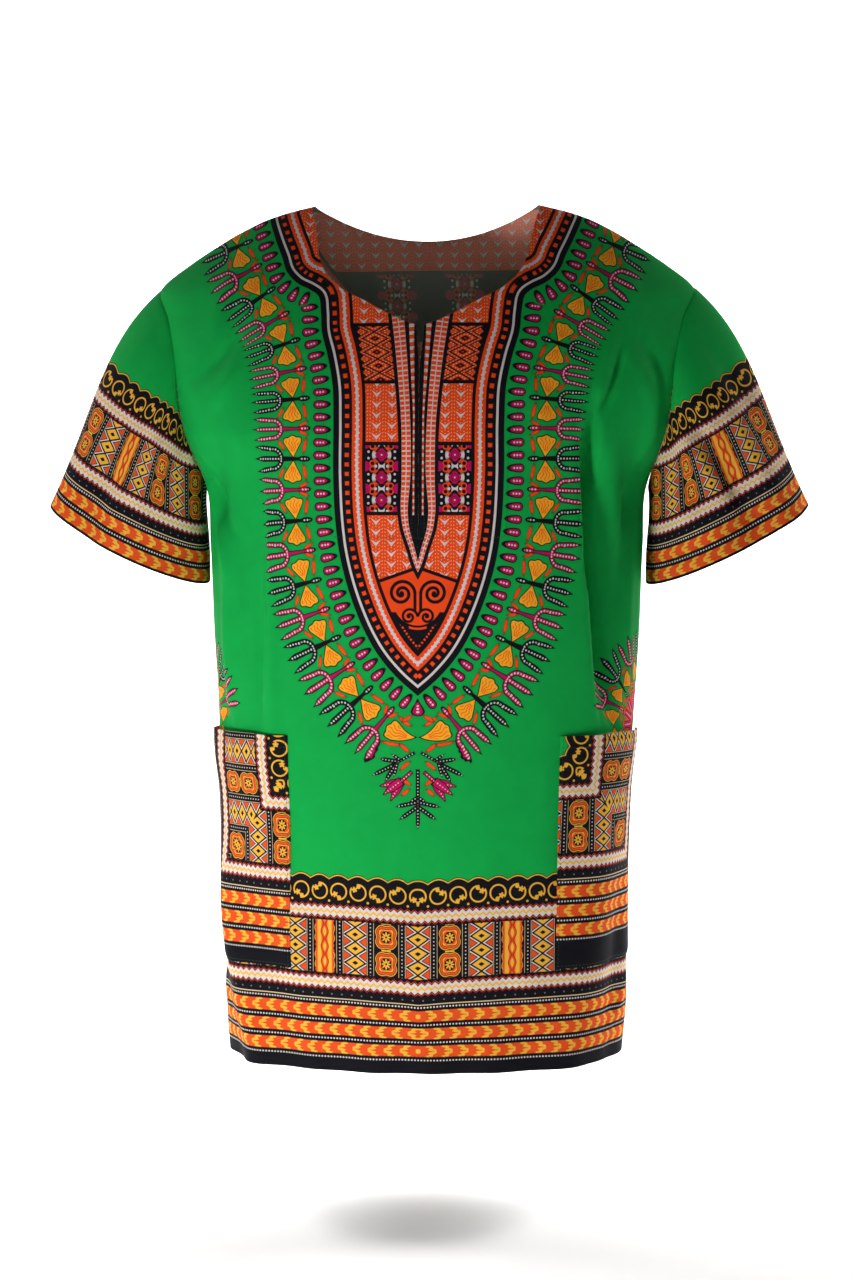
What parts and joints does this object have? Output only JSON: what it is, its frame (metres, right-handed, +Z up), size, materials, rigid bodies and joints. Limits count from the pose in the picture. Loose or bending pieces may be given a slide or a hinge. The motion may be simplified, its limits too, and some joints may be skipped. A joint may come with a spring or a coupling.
{
  "type": "dashiki shirt",
  "caption": "Short-sleeved pull-on dashiki shirt with a notched round neck, centre slit and low patch pockets, filled out and hollow.",
  "frame": {"origin": "midway between the two neck points, the inner ends of the shoulder seams, where the wearer's shoulders hold the shirt up", "axes": "+Z up along the body's length, front towards -Y, +X towards the wearer's left"},
  "size_m": [0.718, 0.2606, 0.799],
  "materials": {
    "body_print": "printed plain-weave cotton, matt with a faint sheen",
    "sleeve_print": "printed plain-weave cotton, matt with a faint sheen",
    "pocket_print": "printed plain-weave cotton, cut from the border of the print"
  },
  "bodies": {
    "root": {"front": "body_print", "back": "body_print", "sleeve_left": "sleeve_print", "sleeve_right": "sleeve_print", "pocket_left": "pocket_print", "pocket_right": "pocket_print"}
  },
  "joints": []
}
